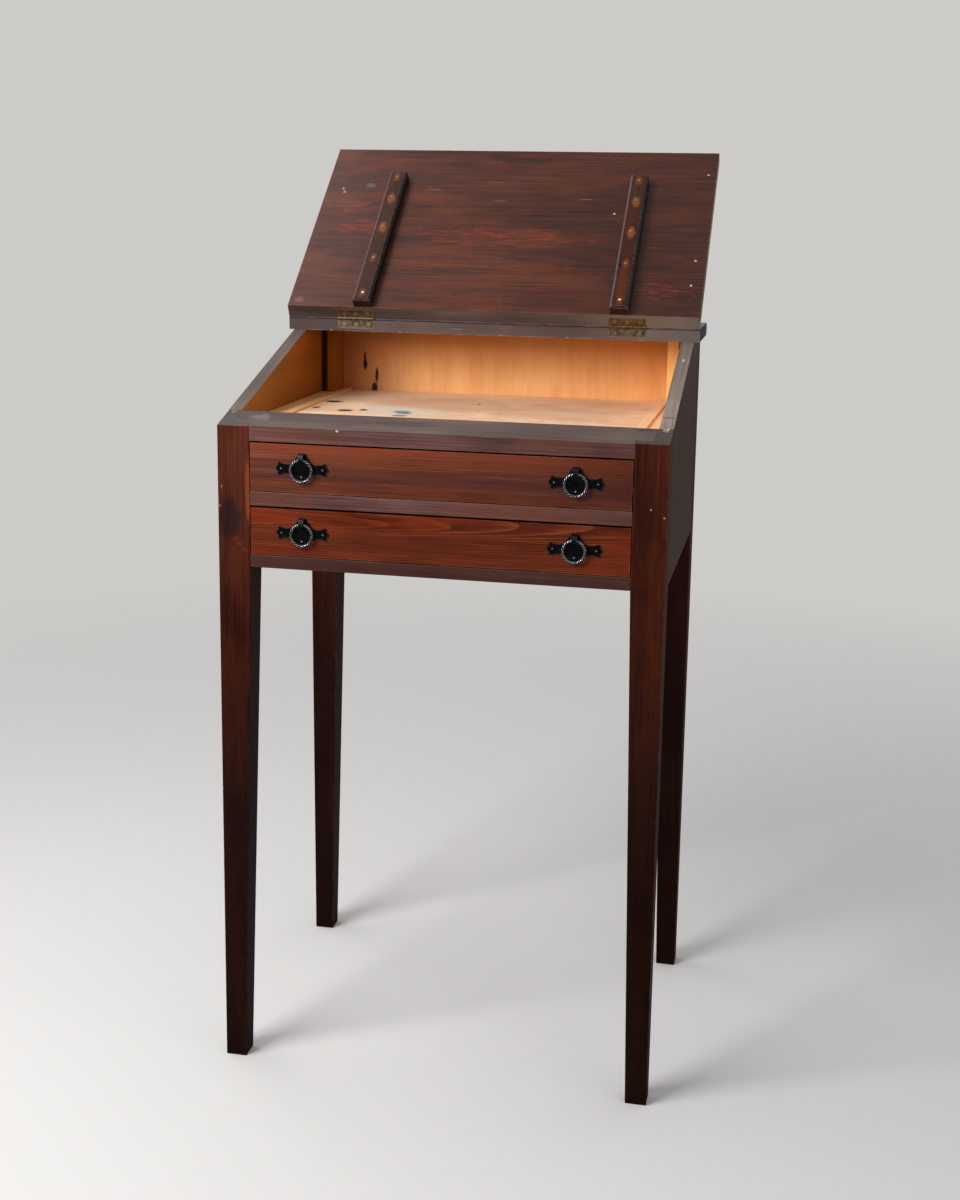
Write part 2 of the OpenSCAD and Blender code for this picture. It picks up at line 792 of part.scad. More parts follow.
module lower_plate_right() { plate(lower_mid, 1); }
module lower_plate_nails() { plate_nails(lower_mid); }
module lower_ring_left() { ring(lower_mid, -1); }
module lower_ring_right() { ring(lower_mid, 1); }

leg_front_left();
leg_front_right();
leg_rear_left();
leg_rear_right();
side_panel_left();
side_panel_right();
back_panel();
top_rail();
middle_rail();
bottom_rail();
compartment_floor();
floor_ledger();
floor_strip_left();
floor_strip_right();
kicker_left();
kicker_right();
upper_runner_left();
upper_runner_right();
lower_runner_left();
lower_runner_right();
upper_guide_left();
upper_guide_right();
lower_guide_left();
lower_guide_right();
drawer_stops();
top_board();
hinge_left_board_leaf();
hinge_right_board_leaf();
hinge_left_pin();
hinge_right_pin();
board_leaf_screws();
lid_board();
lid_batten_left();
lid_batten_right();
batten_nails();
hinge_left_lid_leaf();
hinge_right_lid_leaf();
lid_leaf_screws();
upper_drawer_front();
upper_drawer_side_left();
upper_drawer_side_right();
upper_drawer_back();
upper_drawer_bottom();
upper_plate_left();
upper_plate_right();
upper_plate_nails();
lower_drawer_front();
lower_drawer_side_left();
lower_drawer_side_right();
lower_drawer_back();
lower_drawer_bottom();
lower_plate_left();
lower_plate_right();
lower_plate_nails();
upper_ring_left();
upper_ring_right();
lower_ring_left();
lower_ring_right();
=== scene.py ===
import math

import bmesh
import bpy
from mathutils import Matrix, Vector


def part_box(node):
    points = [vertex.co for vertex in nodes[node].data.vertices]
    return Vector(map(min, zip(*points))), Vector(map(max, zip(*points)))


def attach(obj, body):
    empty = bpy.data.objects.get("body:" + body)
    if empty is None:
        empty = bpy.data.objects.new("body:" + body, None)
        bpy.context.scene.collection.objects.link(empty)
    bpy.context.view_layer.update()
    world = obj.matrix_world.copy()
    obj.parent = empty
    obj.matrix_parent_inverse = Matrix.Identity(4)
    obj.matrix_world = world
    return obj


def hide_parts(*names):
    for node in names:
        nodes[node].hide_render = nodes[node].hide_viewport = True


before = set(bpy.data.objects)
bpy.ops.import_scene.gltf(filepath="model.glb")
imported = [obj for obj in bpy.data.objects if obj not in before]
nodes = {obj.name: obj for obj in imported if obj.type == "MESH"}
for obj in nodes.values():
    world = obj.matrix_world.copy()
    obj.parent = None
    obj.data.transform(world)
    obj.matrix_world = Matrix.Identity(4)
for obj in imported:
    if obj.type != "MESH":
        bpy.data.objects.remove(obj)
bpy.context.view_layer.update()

# Where the photograph was taken from, in metres, radians and pixels of a 960 x 1200 image
CAMERA_AT = (0.4936, -2.3888, 1.2573)
CAMERA_YAW = 0.2002
CAMERA_PITCH = 0.1885
CAMERA_ROLL = 0.0157
FOCAL_PIXELS = 1622.2
AIM_PIXEL = (488.4, 500.7)
IMAGE_SIZE = (960, 1200)
SENSOR_MM = 36

# The lid as it leans back: its hinge line, its elevation and its thickness
HINGE_Y = 0.030536
HINGE_Z = 1.061252
LID_ELEVATION = math.radians(40.7)
LID_T = 0.0185
LID_FLAT = Matrix.Rotation(-LID_ELEVATION, 3, "X")

# Turns that bring a piece's grain to the x axis
ALONG_X = (0, 0, 0)
ALONG_Y = (0, 0, -math.pi / 2)
ALONG_Z = (0, math.pi / 2, 0)

# Rise of the sides' upper edges towards the back
SLOPE = math.radians(17.1)

# Distance from the front faces to the middle of the shared frame, and faces of the case, in metres
MIDDLE = 0.306164
BACK_FACE = 0.450 - MIDDLE
SIDE_INNER = 0.291
LEG_OUTER = 0.310
FLOOR_TOP = 0.9364

# Edges that turn by more than this are eased
SHARP = math.radians(35)

# The axes. In a material of the lid, BACKWARDS runs up the open lid and UP off its underside.
ACROSS = (1, 0, 0)
BACKWARDS = (0, 1, 0)
UP = (0, 0, 1)

BACKGROUND = "cdcbc8"


def rgb(code):
    """Linear colour from a six-digit sRGB code."""
    values = [int(code[i:i + 2], 16) / 255 for i in (0, 2, 4)]
    linear = [v / 12.92 if v <= 0.04045 else ((v + 0.055) / 1.055) ** 2.4 for v in values]
    return (*linear, 1)


def middle_of(name, on_lid=False):
    """Middle of a node's box, in the lid's own frame for a piece of the lid."""
    low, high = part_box(name)
    middle = (low + high) / 2
    return LID_FLAT @ (middle - Vector((0, HINGE_Y, HINGE_Z))) if on_lid else middle


def mm(x, back, up):
    """A point given in millimetres: across, back from the front faces, and up from the floor."""
    return (x / 1000, back / 1000 - MIDDLE, up / 1000)


class Shader:
    """A material whose nodes are added and linked with short calls."""

    def __init__(self, name, on_lid=False):
        self.material = bpy.data.materials.new(name)
        self.material.use_nodes = True
        self.nodes = self.material.node_tree.nodes
        self.links = self.material.node_tree.links
        self.surface = self.nodes["Principled BSDF"].inputs
        coordinates = self.add("TexCoord").outputs
        self.place = coordinates["Object"]
        self.normal = coordinates["Normal"]
        if on_lid:
            hinge = LID_FLAT @ Vector((0, HINGE_Y, HINGE_Z))
            self.place = self.moved(self.place, offset=-hinge, turn=(-LID_ELEVATION, 0, 0))
            self.normal = self.moved(self.normal, turn=(-LID_ELEVATION, 0, 0))

    def give(self, socket, value):
        """Links a socket to an output, or sets it to a colour code or a value."""
        if isinstance(value, bpy.types.NodeSocket):
            self.links.new(value, socket)
        elif isinstance(value, str):
            socket.default_value = rgb(value)
        else:
            socket.default_value = value

    def add(self, kind, inputs=None, **settings):
        """A new node with its settings and inputs."""
        node = self.nodes.new("ShaderNode" + kind)
        for key, value in settings.items():
            setattr(node, key, value)
        for key, value in (inputs or {}).items():
            self.give(node.inputs[key], value)
        return node

    def number(self, operation, a, b=0.0, c=0.0):
        """Result of a calculation with numbers."""
        return self.add("Math", {0: a, 1: b, 2: c}, operation=operation).outputs[0]

    def product(self, *factors):
        total = factors[0]
        for factor in factors[1:]:
            total = self.number("MULTIPLY", total, factor)
        return total

    def vector(self, operation, a, b):
        """Node of a calculation with vectors."""
        return self.add("VectorMath", {0: a, 1: b}, operation=operation)

    def length(self, of):
        """Length of a vector."""
        return self.add("VectorMath", {0: of}, operation="LENGTH").outputs["Value"]

    def along(self, axis, of=None):
        """Distance along an axis, or how far a normal points along it."""
        return self.vector("DOT_PRODUCT", of or self.place, axis).outputs["Value"]

    def moved(self, place, offset=(0, 0, 0), turn=(0, 0, 0), scale=(1, 1, 1)):
        """place after it is scaled, turned and shifted, in that order."""
        inputs = {"Vector": place, "Location": offset, "Rotation": turn, "Scale": scale}
        return self.add("Mapping", inputs).outputs[0]

    def stretched(self, place, share):
        """place for a pattern that is drawn out along x, where it changes by this share."""
        return self.moved(place, scale=(share, 1, 1))

    def noise(self, place, period, detail=2.0, roughness=0.5, output="Fac"):
        """Noise whose largest waves are a period long, in metres."""
        inputs = {"Vector": place, "Scale": 1 / period, "Detail": detail, "Roughness": roughness}
        return self.add("TexNoise", inputs).outputs[output]

    def spread(self, value, low, high, to=(0.0, 1.0)):
        """value brought from the range low to high to another range, and kept inside it."""
        inputs = {"Value": value, "From Min": low, "From Max": high, "To Min": to[0], "To Max": to[1]}
        return self.add("MapRange", inputs).outputs[0]

    def sum(self, terms, start=0.0):
        """start plus each (value, weight) pair's value, measured from a half, times its weight."""
        total = start - sum(weight for _, weight in terms) / 2
        for value, weight in terms:
            total = self.number("MULTIPLY_ADD", value, weight, total)
        return total

    def ramp(self, value, colours):
        """Colour on an even scale of colours."""
        node = self.add("ValToRGB", {"Fac": value})
        stops = node.color_ramp.elements
        while len(stops) < len(colours):
            stops.new(0.5)
        for i, colour in enumerate(colours):
            stops[i].position = i / (len(colours) - 1)
            stops[i].color = rgb(colour)
        return node.outputs["Color"]

    def mix(self, share, a, b):
        """A colour between a and b."""
        node = self.add("Mix", data_type="RGBA")
        self.give(node.inputs["Factor"], share)
        self.give(node.inputs[6], a)
        self.give(node.inputs[7], b)
        return node.outputs[2]

    def blend(self, share, a, b):
        """A number between a and b."""
        return self.number("MULTIPLY_ADD", share, self.number("SUBTRACT", b, a), a)

    def bump(self, height, strength, distance):
        """Small relief on the surface."""
        inputs = {"Height": height, "Strength": strength, "Distance": distance}
        self.give(self.surface["Normal"], self.add("Bump", inputs).outputs[0])

    def crevices(self, reach):
        """1 where neighbouring faces stand close together."""
        open_share = self.add("AmbientOcclusion", {"Distance": reach}, samples=4).outputs["AO"]
        return self.spread(open_share, 0.7, 0.3)

    def edges(self, radius):
        """Nearly 1 along the piece's edges and 0 on its faces."""
        rounded = self.add("Bevel", {"Radius": radius}, samples=4).outputs[0]
        flat = self.add("NewGeometry").outputs["Normal"]
        turned = self.vector("DOT_PRODUCT", rounded, flat).outputs["Value"]
        return self.spread(turned, 0.99, 0.8)

    def spots(self, colour, tone, places, size, ragged=0.5, strength=1.0):
        """colour with ragged spots of another tone, all of one size, at points given in metres. A
        spot fades out between 0.7 and 1.2 of its size."""
        wobble = self.noise(self.place, 1.5 * min(size), detail=4, roughness=0.7)
        for place in places:
            offset = self.vector("SUBTRACT", self.place, place).outputs[0]
            scaled = self.vector("DIVIDE", offset, size).outputs[0]
            distance = self.length(scaled)
            far = self.number("MULTIPLY_ADD", wobble, 2 * ragged, distance)
            share = self.spread(far, 1.2 + ragged, 0.7 + ragged, (0, strength))
            colour = self.mix(share, colour, tone)
        return colour


# Looks of the woods. tones run from dark to light, and patches of the warm tone lie over them;
# rings, streaks, blotches and fibres say how strongly each pattern moves the tone; ring is the
# spacing of the growth rings in metres, pith is where the trunk's middle lies from the board's,
# and lean tilts the trunk, which makes arches. A negative value of rings makes the rings light.
# worn is the tone of worn edges, and the last entry the tone of the painted shade, with some dirt,
# that darkens corners and crevices, and how much of it there is.
STAINED = dict(ring=0.003, rings=0.2, streaks=0.6, blotches=0.6, fibres=0.6, rough=(0.4, 0.6),
               shine=0.25, lean=0.05, pith=(0.06, 0.04), worn="a89a90", gap=("0c0403", 0.8))
SLOPED = STAINED | dict(streaks=0.5, blotches=0.7)
RAW = dict(ring=0.005, rings=0.14, streaks=0.2, blotches=0.4, fibres=0.2, rough=(0.55, 0.75),
           shine=0.25, lean=0.12, pith=(0.05, 0.04), worn="e8c79b", gap=("6a3414", 0.4))
LOOKS = {
    "leg": STAINED | dict(tones=("1c0602", "43180b", "6c2e19"), warm="642a10", worn="96582f",
                          fibres=0.4, rough=(0.3, 0.5), shine=0.15, lean=0.06, pith=(0.06, 0.045)),
    "front": STAINED | dict(tones=("2e120b", "642e1e", "925742"), warm="743a22", worn="a0603f",
                            rings=-0.25, blotches=0.4, rough=(0.28, 0.46), shine=0.2, lean=0.04,
                            pith=(0.06, -0.1)),
    "arched": STAINED | dict(tones=("2c0c04", "5c220d", "904420"), warm="7e2c0a", worn="a0603f",
                             ring=0.0026, rings=-0.5, streaks=0.55, blotches=0.5, fibres=0.5,
                             rough=(0.28, 0.46), shine=0.2, lean=0.2, pith=(0.03, -0.03)),
    "rail": STAINED | dict(tones=("30191a", "5c3b36", "80605a"), warm="6e3c2c", worn="8d726a",
                           rough=(0.35, 0.55), lean=0.02, pith=(0.08, 0.06)),
    "edge": STAINED | dict(tones=("2c201d", "55453f", "7c6a62"), warm="4e3c3a", streaks=0.4,
                           blotches=0.7, fibres=0.5),
    "slope": SLOPED | dict(tones=("463933", "7f7166", "a99c8e"), warm="79695b"),
    "left_slope": SLOPED | dict(tones=("322723", "5f524b", "8a7c73"), warm="584845"),
    "side": STAINED | dict(tones=("301c12", "492e20", "60422f"), warm="543220", worn="75655a",
                           ring=0.004, streaks=0.4, blotches=0.4, fibres=0.3, rough=(0.26, 0.42),
                           shine=0.2, lean=0.1, pith=(0.06, 0.03)),
    "lid": STAINED | dict(tones=("140703", "411a0e", "6c3721"), warm="602a0d", worn="8a6455",
                          ring=0.0034, rings=0.15, streaks=0.7, blotches=0.4, fibres=1.0,
                          rough=(0.3, 0.5), lean=0.12, pith=(0.02, 0.11)),
    "batten": STAINED | dict(tones=("170703", "33150a", "4a2815"), warm="4a1c04", worn="9d8f98",
                             ring=0.004, rings=0.1, streaks=0.4, blotches=0.8, fibres=0.3,
                             rough=(0.26, 0.42), shine=0.15, lean=0.02, pith=(0.06, 0.05)),
    "raw": RAW | dict(tones=("c4823f", "f0b87c", "f8cc98"), warm="e6a45e"),
    # Two copies of the raw wood: a brighter one that paints light on the compartment's right side and
    # corner, and a darker one that paints shade on its left side and corner.
    "lit_raw": RAW | dict(tones=("dc9c4c", "ffcc80", "ffe09c"), warm="f8bc64"),
    "shaded_raw": RAW | dict(tones=("75390a", "9c5517", "b5762c"), warm="8a4209", blotches=0.5,
                        shine=0.2),
    "back": RAW | dict(tones=("c98a4c", "eeae6e", "f8c894"), warm="de9452", ring=0.011, rings=0.08,
                       streaks=0.12, blotches=0.5, fibres=0.12, pith=(0.09, 0.05)),
    "bottom": RAW | dict(tones=("d49e76", "f2c8a4", "fbdfc2"), warm="e2ae86", worn="eed8bd",
                         ring=0.009, rings=0.1, blotches=0.6, fibres=0.15, pith=(0.09, 0.06)),
}

# How far apart two pieces are taken from the wood, how much the trunk is drawn out along its
# grain, and how far its rings wander, in metres
SEED_SHIFT = 0.37
DRAWN_OUT = 0.08
WANDER = 0.03


def grain(s, look, turn, seed, middle, rise=0):
    """Colour, tone and roughness of one of the woods. rise tilts the grain up towards the back."""
    kind = LOOKS[look]
    centred = s.vector("SUBTRACT", s.place, middle).outputs[0]
    if rise:
        centred = s.moved(centred, turn=(-rise, 0, 0))
    board = s.moved(centred, offset=(SEED_SHIFT * seed, 0, 0), turn=turn)
    trunk = s.stretched(board, DRAWN_OUT)
    warp = s.noise(trunk, 0.09, detail=1.0, output="Color")
    bend = s.vector("MULTIPLY", warp, (WANDER, WANDER, WANDER)).outputs[0]
    across, up = kind["pith"]
    pith = (-DRAWN_OUT * SEED_SHIFT * seed, across - WANDER / 2, up - WANDER / 2)
    leaning = s.moved(s.moved(trunk, offset=pith), turn=(0, kind["lean"], 1.6 * kind["lean"]))
    bent = s.vector("ADD", leaning, bend).outputs[0]
    wave = {"Vector": bent, "Scale": math.tau / 20 / kind["ring"], "Distortion": 5.0,
            "Detail": 2.0, "Detail Scale": 0.3}
    rings = s.add("TexWave", wave, wave_type="RINGS", rings_direction="X",
                  wave_profile="SAW").outputs["Fac"]
    late = s.number("POWER", rings, 2.2)
    drift = s.noise(s.stretched(board, 0.3), 0.045, detail=4, roughness=0.6)
    streaks = s.noise(s.stretched(board, 0.035), 0.007, detail=4, roughness=0.75)
    blotches = s.noise(s.stretched(board, 0.35), 0.08, detail=2)
    fibres = s.noise(s.stretched(board, 0.03), 0.0024, detail=3, roughness=0.7)
    tone = s.sum([(late, -kind["rings"]), (streaks, 1.6 * kind["streaks"]),
                  (blotches, 1.4 * kind["blotches"]), (fibres, kind["fibres"])],
                 0.48 - 0.19 * kind["rings"])
    rough = s.spread(s.sum([(streaks, 1.0), (blotches, 1.0)], 0.5), 0.2, 0.8, kind["rough"])
    patches = s.spread(drift, 0.48, 0.66, (0, 0.65))
    return s.mix(patches, s.ramp(tone, kind["tones"]), kind["warm"]), tone, rough


def wood(name, look, turn=ALONG_X, seed=0, paint=None, others=(), on_lid=False):
    """Stained or raw pine with worn edges, and with painted shade, with some dirt, in its crevices.
    others are further looks, each with a function that says where it is used, and paint adds the
    marks of the single piece. The grain of the slope looks runs along the sides' upper edges."""
    s = Shader(name + "_wood", on_lid)
    kind = LOOKS[look]
    middle = middle_of(name, on_lid)
    colour, tone, rough = grain(s, look, turn, seed, middle)
    for other, where in others:
        share = where(s)
        rise = SLOPE if other.endswith("slope") else 0
        other_colour, other_tone, other_rough = grain(s, other, turn, seed + 7, middle, rise)
        colour = s.mix(share, colour, other_colour)
        tone = s.blend(share, tone, other_tone)
        rough = s.blend(share, rough, other_rough)
    if paint:
        colour = paint(s, colour)
    chips = s.noise(s.moved(s.place, turn=turn, scale=(0.3, 1, 1)), 0.008, detail=3)
    worn = s.product(s.edges(radius=0.0022), s.spread(chips, 0.42, 0.64), 0.7)
    colour = s.mix(worn, colour, kind["worn"])
    # Painted shade, with some dirt, darkens crevices and the joints between parts.
    gap_tone, gap_share = kind["gap"]
    gaps = s.product(s.crevices(reach=0.005), gap_share)
    s.give(s.surface["Base Color"], s.mix(gaps, colour, gap_tone))
    s.give(s.surface["Roughness"], rough)
    s.surface["Specular IOR Level"].default_value = kind["shine"]
    s.surface["Coat Weight"].default_value = 0.08
    s.surface["Coat Roughness"].default_value = 0.2
    s.bump(tone, strength=0.35, distance=0.0004)
    return s.material


def metal(name, dark, light, edge, rough, metallic, pit, depth):
    """Aged metal with soft mottling, pits of a size in metres and brighter edges."""
    s = Shader(name)
    mottle = s.noise(s.place, pit * 6, detail=4, roughness=0.65)
    pits = s.noise(s.place, pit, detail=3)
    colour = s.ramp(s.sum([(mottle, 1.6), (pits, 0.6)], 0.5), (dark, light))
    s.give(s.surface["Base Color"], s.mix(s.product(s.edges(radius=0.0008), 0.6), colour, edge))
    s.give(s.surface["Roughness"], s.spread(mottle, 0.3, 0.7, rough))
    s.surface["Metallic"].default_value = metallic
    s.bump(s.sum([(mottle, 1.0), (pits, 0.5)], 0.5), 0.4, depth)
    return s.material


def glinting_iron(name, glint):
    """Black iron with the painted highlights that a function adds."""
    s = Shader(name)
    mottle = s.noise(s.place, 0.005, detail=4, roughness=0.65)
    black = s.ramp(mottle, ("141417", "3a3a40"))
    s.give(s.surface["Base Color"], glint(s, black))
    s.give(s.surface["Roughness"], s.spread(mottle, 0.3, 0.7, (0.15, 0.3)))
    s.surface["Metallic"].default_value = 0.6
    s.bump(mottle, strength=0.3, distance=0.0002)
    return s.material


def glint_on_stud(s, black):
    """A painted highlight where the stud looks outwards."""
    outward = s.spread(s.along((0, -1, 0), s.normal), 0.86, 0.99)
    return s.mix(s.product(outward, 0.9), black, "d4d4da")


def glint_on_nails(level):
    """Painted highlights at the middles of the nails in a drawer's two backplates."""
    def glint(s, black):
        size = (0.0011, 0.01, 0.0011)
        return s.spots(black, "e6e6ec", plate_nail_places(level), size, 0.25, 0.85)
    return glint


def nail_heads():
    """Heads of the battens' nails: bright next to the hinges, and dull and brown further up."""
    s = Shader("nail_heads", on_lid=True)
    mottle = s.noise(s.place, 0.006, detail=4, roughness=0.65)
    tone = s.sum([(mottle, 1.6)], 0.5)
    bright = s.ramp(tone, ("9c8668", "f4eadc"))
    dull = s.ramp(tone, ("4c2c12", "c8a070"))
    up_the_lid = s.spread(s.along(BACKWARDS), 0.05, 0.07)
    s.give(s.surface["Base Color"], s.mix(up_the_lid, bright, dull))
    s.give(s.surface["Roughness"], s.spread(mottle, 0.3, 0.7, (0.2, 0.35)))
    s.surface["Metallic"].default_value = 0.35
    s.bump(mottle, strength=0.4, distance=0.0002)
    return s.material


def inside_of_side(s):
    """1 on a side panel's inner face."""
    outwards = s.number("ABSOLUTE", s.along(ACROSS))
    return s.spread(outwards, SIDE_INNER + 0.0006, SIDE_INNER + 0.0002)


def inside_of_case(s):
    """1 on the parts of a rear leg that close a corner of the compartment."""
    above = s.spread(s.along(UP), FLOOR_TOP - 0.012, FLOOR_TOP - 0.008)
    within = s.spread(s.number("ABSOLUTE", s.along(ACROSS)), LEG_OUTER - 0.001, LEG_OUTER - 0.002)
    in_front = s.spread(s.along(BACKWARDS), BACK_FACE + 0.011, BACK_FACE + 0.010)
    return s.product(above, within, in_front)


def faces_up(s):
    """1 on the faces that look upwards."""
    return s.spread(s.along(UP, s.normal), 0.55, 0.75)


def around_lid(s):
    """1 on the narrow faces all round the lid."""
    return s.spread(s.number("ABSOLUTE", s.along(UP, s.normal)), 0.85, 0.7)


def painted_shade_below(s, colour):
    """Painted shade that darkens the wood towards the feet."""
    height = s.sum([(s.noise(s.place, 0.05, detail=2), 0.15)], 0.0)
    share = s.spread(s.number("ADD", s.along(UP), height), 0.95, 0.4, (0, 0.88))
    return s.mix(share, colour, "0f0200")


def mark_upper_front(s, colour):
    """Stain that is redder along the top, duller below that, and painted shade that darkens it
    towards the right.
    """
    height = s.sum([(s.noise(s.stretched(s.place, 0.06), 0.012, detail=3), 0.03)], 0.0)
    level = s.number("ADD", s.along(UP), height)
    colour = s.mix(s.spread(level, 0.890, 0.908, (0, 0.45)), colour, "964228")
    dull = s.product(s.spread(level, 0.890, 0.880), s.spread(level, 0.862, 0.870), 0.4)
    colour = s.mix(dull, colour, "4a2a28")
    # Painted shade: the front darkens towards the right.
    return s.mix(s.spread(s.along(ACROSS), -0.05, 0.26, (0, 0.5)), colour, "34170f")


def mark_low_rail(s, colour):
    """Redder and darker than the other rails."""
    return s.mix(0.7, colour, "32140f")


def grey_top(s, colour, tone):
    """End grain that has greyed more than the wood round it."""
    return s.mix(s.product(faces_up(s), 0.6), colour, tone)


def mark_left_leg(s, colour):
    """A knot with a streak below it, a paler edge next to the drawers, and two nicks."""
    # Painted shade darkens the leg towards the feet.
    colour = grey_top(s, painted_shade_below(s, colour), "464a46")
    colour = s.spots(colour, "1c0d0c", [mm(-293, 0, 808)], (0.017, 0.02, 0.03), 0.6, 0.75)
    streak = [mm(-285, 0, 780), mm(-279, 0, 773), mm(-273, 0, 765)]
    colour = s.spots(colour, "70280f", streak, (0.0055, 0.01, 0.0035), 0.9, 0.45)
    colour = s.spots(colour, "8c4318", [mm(-266, 0, 850)], (0.0045, 0.01, 0.045), 0.5, 0.7)
    nicks = [mm(-307.5, 0, 825), mm(-305, 0, 852)]
    return s.spots(colour, "b07c6c", nicks, (0.001, 0.004, 0.0018), 0.3, 0.7)


def mark_right_leg(s, colour):
    """Two small pale nicks next to the drawers."""
    # Painted shade darkens the leg towards the feet.
    colour = grey_top(s, painted_shade_below(s, colour), "37383a")
    nicks = [mm(288, 0, 851), mm(306, 0, 841)]
    return s.spots(colour, "b9a58f", nicks, (0.0013, 0.004, 0.0013), 0.3, 0.7)


def mark_rear_leg(s, colour):
    """Painted shade that darkens the leg towards the feet, and a dark band where the side panel meets
    the leg: painted shade of the narrow opening between them, with some stain.
    """
    # Painted shade darkens the leg towards the feet.
    colour = painted_shade_below(s, colour)
    # The dark band next to the side panel's inner face is painted shade, with some stain.
    across = s.number("ABSOLUTE", s.along(ACROSS))
    seam = s.product(inside_of_case(s), s.spread(across, SIDE_INNER - 0.0045, SIDE_INNER - 0.003))
    return s.mix(seam, colour, "5c2a12")


def mark_bottom(s, colour):
    """Ink, blue stains and a small knot on the compartment's floor."""
    def at(x, back):
        return mm(x, back, 936)

    colour = s.spots(colour, "b88460", [at(-60, 300), at(120, 260)], (0.11, 0.09, 0.02), 0.8, 0.4)
    wash = [at(-125, 240), at(-80, 225), at(-120, 200)]
    colour = s.spots(colour, "cfcdbb", wash, (0.045, 0.03, 0.02), 1.0, 0.65)
    colour = s.spots(colour, "5d7682", [at(-105, 215)], (0.014, 0.012, 0.02), 1.0, 0.8)
    colour = s.spots(colour, "17171f", [at(-233, 297), at(-188, 205)], (0.013, 0.010, 0.02), 0.7)
    colour = s.spots(colour, "1c1f2c", [at(-239, 224), at(-164, 217)], (0.006, 0.009, 0.02), 0.6)
    colour = s.spots(colour, "34506a", [at(-97.5, 173), at(-98, 200)], (0.011, 0.008, 0.02), 0.7, 0.8)
    return s.spots(colour, "6d3b1a", [at(-13, 332)], (0.004, 0.004, 0.02), 0.4)


def mark_back(s, colour):
    """Ink drips on the compartment's back, with painted shade that makes it darker and more orange
    towards the top, under the board, and browner towards the left."""
    # Painted shade under the board: darker orange towards the top.
    shaded_top = s.spread(s.along(UP), 0.955, 1.035, (0, 0.75))
    colour = s.mix(shaded_top, colour, "d07b32")
    # Painted shade beside the left side panel: browner towards the left.
    colour = s.mix(s.spread(s.along(ACROSS), -0.13, -0.25, (0, 0.75)), colour, "964818")
    ink = "0f1014"
    colour = s.spots(colour, ink, [mm(-228, 450, 985)], (0.0022, 0.006, 0.015), 0.5)
    colour = s.spots(colour, ink, [mm(-227.5, 450, 979)], (0.0034, 0.006, 0.008), 0.6)
    colour = s.spots(colour, ink, [mm(-208, 450, 962)], (0.0028, 0.006, 0.012), 0.6)
    ends = [mm(-211, 450, 943), mm(-213, 450, 936)]
    return s.spots(colour, ink, ends, (0.005, 0.006, 0.007), 0.6)


def mark_lid(s, colour):
    """Pale scratches, worn spots and red flecks on the lid's underside, painted shade that darkens
    the underside towards the right, and edges that are paler towards the right and darker towards the
    left."""
    def at(x, along):
        return (x / 1000, along / 1000, LID_T)

    across = s.along(ACROSS)
    edge = around_lid(s)
    under = s.number("SUBTRACT", 1, edge)
    # Painted shade: the underside darkens towards the right.
    colour = s.mix(s.product(under, s.spread(across, 0.0, 0.3, (0, 0.35))), colour, "1e0c06")
    colour = s.mix(s.product(edge, s.spread(across, 0.12, 0.29, (0, 0.65))), colour, "83756a")
    colour = s.mix(s.product(edge, s.spread(across, 0.12, -0.25, (0, 0.55))), colour, "2a1e1e")
    warm = [at(45, 104), at(-112, 108), at(-40, 30)]
    colour = s.spots(colour, "6a2e10", warm, (0.065, 0.012, 0.008), 1.4, 0.35)
    grey = [at(14, 162), at(-155, 166), at(78, 158)]
    colour = s.spots(colour, "2e2725", grey, (0.026, 0.006, 0.008), 1.2, 0.45)
    dark = [at(-84, 298), at(30, 207), at(-59, 87), at(215, 190)]
    colour = s.spots(colour, "28160f", dark, (0.045, 0.004, 0.008), 0.9, 0.5)
    flecks = s.spread(s.noise(s.stretched(s.place, 0.18), 0.004, detail=3), 0.5, 0.62)
    flecked = s.mix(s.product(flecks, 0.55), colour, "802a12")
    near = s.spots(colour, flecked, [at(-20, 170)], (0.17, 0.022, 0.008), 0.6)
    apart = [at(-265, 235), at(-235, 190), at(260, 60)]
    colour = s.spots(near, flecked, apart, (0.05, 0.02, 0.008), 0.7)
    colour = s.spots(colour, "180a06", [at(2, 357), at(-166, 163)], (0.05, 0.009, 0.008), 0.7, 0.6)
    rubbed = [at(-245, 288), at(-302, 20)]
    colour = s.spots(colour, "8a7670", rubbed, (0.008, 0.006, 0.008), 1.2, 0.25)
    chips = [at(-290, 280), at(-286, 272)]
    colour = s.spots(colour, "b09c8c", chips, (0.002, 0.003, 0.008), 1.4, 0.6)
    scratches = [at(-134, 281), at(-23, 256), at(116, 263)]
    colour = s.spots(colour, "84695c", scratches, (0.011, 0.001, 0.008), 0.8, 0.5)
    dots = [at(305, 326), at(301, 127), at(299, 73), at(165, 230)]
    return s.spots(colour, "c8b8a8", dots, (0.0019, 0.0019, 0.008), 0.3, 0.9)


def mark_batten(s, colour):
    """Orange worn patches round the nails, a painted highlight on the left chamfer, and painted shade
    on the right side.
    """
    alongs = [0.292, 0.243, 0.173, 0.100, 0.022]
    middles = (-0.198, 0.198)
    places = [(x, along, 2 * LID_T) for along in alongs for x in middles]
    big = [(x + 0.001, along - 0.004, 2 * LID_T) for along in alongs[1:3] for x in middles]
    colour = s.spots(colour, "7c431c", places, (0.005, 0.010, 0.03), 0.9, 0.5)
    colour = s.spots(colour, "885024", big, (0.006, 0.012, 0.03), 1.1, 0.5)
    low_right = [(middles[1], 0.055, 2 * LID_T)]
    colour = s.spots(colour, "5c2506", low_right, (0.009, 0.04, 0.03), 0.7, 0.6)
    leftward = s.along((-1, 0, 0), s.normal)
    # Painted highlight on the left chamfer.
    lit_chamfer = s.product(s.spread(leftward, 0.3, 0.6), s.spread(leftward, 0.95, 0.8), 0.22)
    colour = s.mix(lit_chamfer, colour, "8c7c86")
    # Painted shade on the right side and its chamfer.
    colour = s.mix(s.spread(leftward, -0.3, -0.6, (0, 0.85)), colour, "0c0402")
    return s.mix(s.spread(s.along((0, -1, 0), s.normal), 0.8, 0.95, (0, 0.7)), colour, "1a0e0c")


